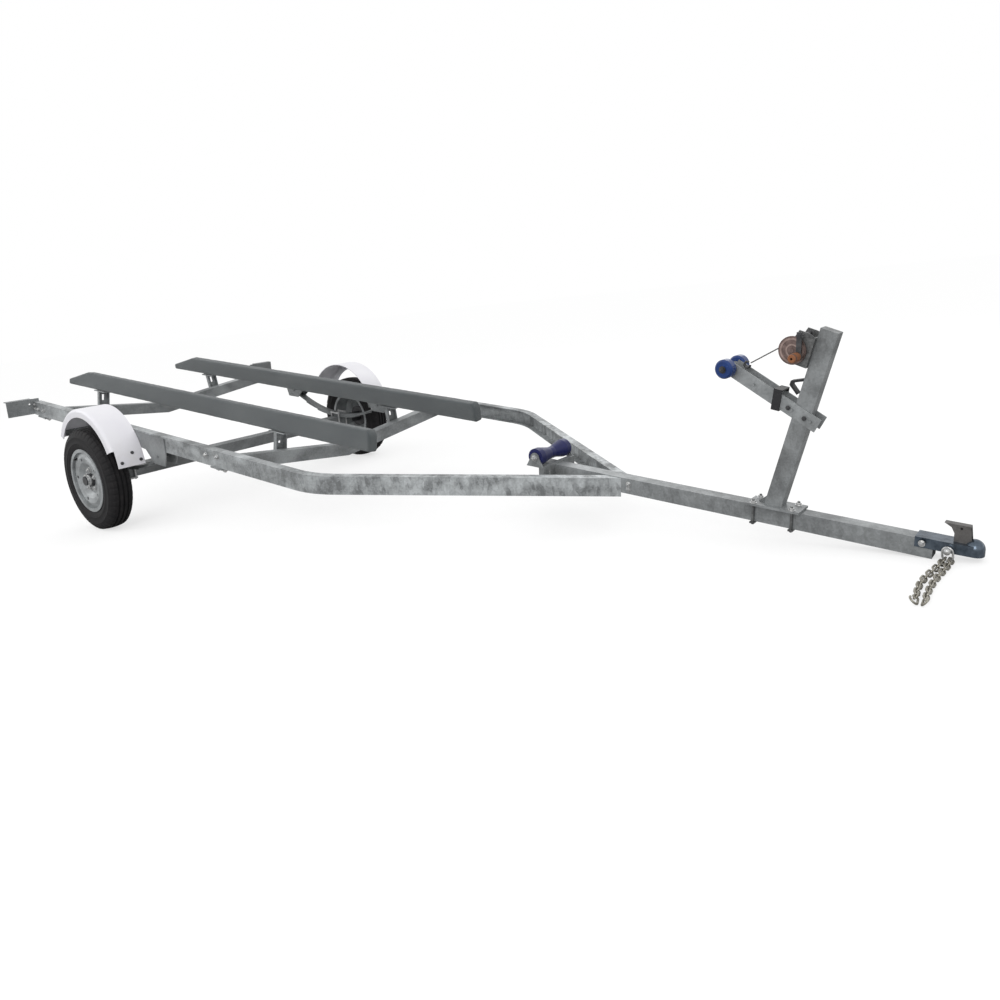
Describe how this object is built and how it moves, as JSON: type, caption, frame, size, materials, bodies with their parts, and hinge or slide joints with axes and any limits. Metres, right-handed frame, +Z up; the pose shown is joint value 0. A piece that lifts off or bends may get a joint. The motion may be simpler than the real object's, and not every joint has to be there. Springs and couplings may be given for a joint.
{
  "type": "boat trailer",
  "caption": "Small single-axle boat trailer with a V-shaped channel frame, carpeted bunks, white fenders, a keel roller and a winch post with a bow stop.",
  "frame": {"origin": "middle of the bounding box at the ground the parked trailer stands on", "axes": "+X forward to the coupler, +Y to port, +Z up; parked nose down on both tyres and the coupler"},
  "size_m": [5.3276, 1.77, 0.7748],
  "materials": {
    "galvanised": "hot-dip galvanised steel with a mottled spangle, dull",
    "old_galvanised": "dull weathered zinc on steel, darker and browner",
    "dark_steel": "dark greasy or black-coated steel",
    "zinc_hardware": "zinc-plated hardware, slightly bright",
    "bunk_carpet": "charcoal marine carpet, short looped pile",
    "fender_plastic": "white moulded plastic",
    "roller_plastic": "blue moulded roller",
    "winch_copper": "copper-brown plated gear and drum",
    "crank_grip": "orange-brown grip",
    "winch_cable": "dark steel cable",
    "black_strap": "black rubbery strap",
    "coupler_zinc": "blue-grey zinc plate",
    "chain_zinc": "yellowish weathered zinc",
    "tyre_rubber": "black tyre rubber",
    "wheel_paint": "galvanised pressed-steel wheel"
  },
  "bodies": {
    "frame": {"starboard_rail": "galvanised", "port_rail": "galvanised", "rear_crossmember": "galvanised", "front_crossmember": "galvanised", "tongue": "galvanised", "axle_beam": "old_galvanised", "starboard_leaf_spring": "old_galvanised", "port_leaf_spring": "old_galvanised", "starboard_spring_hangers": "galvanised", "port_spring_hangers": "galvanised", "axle_clamps": "zinc_hardware", "starboard_light_bracket": "galvanised", "port_light_bracket": "galvanised", "starboard_fender_bars": "old_galvanised", "port_fender_bars": "old_galvanised", "starboard_fender": "fender_plastic", "port_fender": "fender_plastic", "starboard_rear_bunk_post": "galvanised", "starboard_front_bunk_post": "galvanised", "port_rear_bunk_post": "galvanised", "port_front_bunk_post": "galvanised", "starboard_bunk": "bunk_carpet", "port_bunk": "bunk_carpet", "keel_roller_bracket": "galvanised", "keel_roller_shaft": "zinc_hardware", "winch_post": "galvanised", "post_u_bolts": "zinc_hardware", "bow_arm": "galvanised", "bow_roller_shaft": "zinc_hardware", "bow_strap": "black_strap", "winch_frame": "dark_steel", "winch_cable": "winch_cable", "cable_hook": "dark_steel", "coupler": "coupler_zinc", "coupler_latch": "coupler_zinc", "chain_anchor_bolt": "zinc_hardware", "chain_shackle": "zinc_hardware", "rear_safety_chain": "chain_zinc", "front_safety_chain": "chain_zinc"},
    "starboard_wheel": {"starboard_tyre": "tyre_rubber", "starboard_wheel_rim": "wheel_paint", "starboard_hub": "dark_steel"},
    "port_wheel": {"port_tyre": "tyre_rubber", "port_wheel_rim": "wheel_paint", "port_hub": "dark_steel"},
    "keel_roller_body": {"keel_roller": "roller_plastic"},
    "starboard_bow_roller_body": {"starboard_bow_roller": "roller_plastic"},
    "port_bow_roller_body": {"port_bow_roller": "roller_plastic"},
    "winch_drum_body": {"winch_drum": "winch_copper"},
    "winch_crank_body": {"winch_crank": "crank_grip"}
  },
  "joints": [
    {"name": "starboard_wheel_spin", "type": "hinge", "parent": "frame", "child": "starboard_wheel", "pos_m": [-1.38707, -0.823, 0.267], "axis": [0, 1, 0], "continuous": true},
    {"name": "port_wheel_spin", "type": "hinge", "parent": "frame", "child": "port_wheel", "pos_m": [-1.38707, 0.823, 0.267], "axis": [0, 1, 0], "continuous": true},
    {"name": "keel_roller_spin", "type": "hinge", "parent": "frame", "child": "keel_roller_body", "pos_m": [0.96643, 0, 0.29187], "axis": [0, 1, 0], "continuous": true},
    {"name": "starboard_bow_roller_spin", "type": "hinge", "parent": "frame", "child": "starboard_bow_roller_body", "pos_m": [1.85088, -0.056, 0.63747], "axis": [0, 1, 0], "continuous": true},
    {"name": "port_bow_roller_spin", "type": "hinge", "parent": "frame", "child": "port_bow_roller_body", "pos_m": [1.85088, 0.056, 0.63747], "axis": [0, 1, 0], "continuous": true},
    {"name": "winch_drum_spin", "type": "hinge", "parent": "frame", "child": "winch_drum_body", "pos_m": [2.09659, 0, 0.69155], "axis": [0, 1, 0], "continuous": true},
    {"name": "winch_crank_spin", "type": "hinge", "parent": "frame", "child": "winch_crank_body", "pos_m": [2.13115, 0, 0.73813], "axis": [0, 1, 0], "continuous": true}
  ],
  "couplings": [
    {"joint": "winch_crank_spin", "follows": "winch_drum_spin", "ratio": -5.0526}
  ]
}
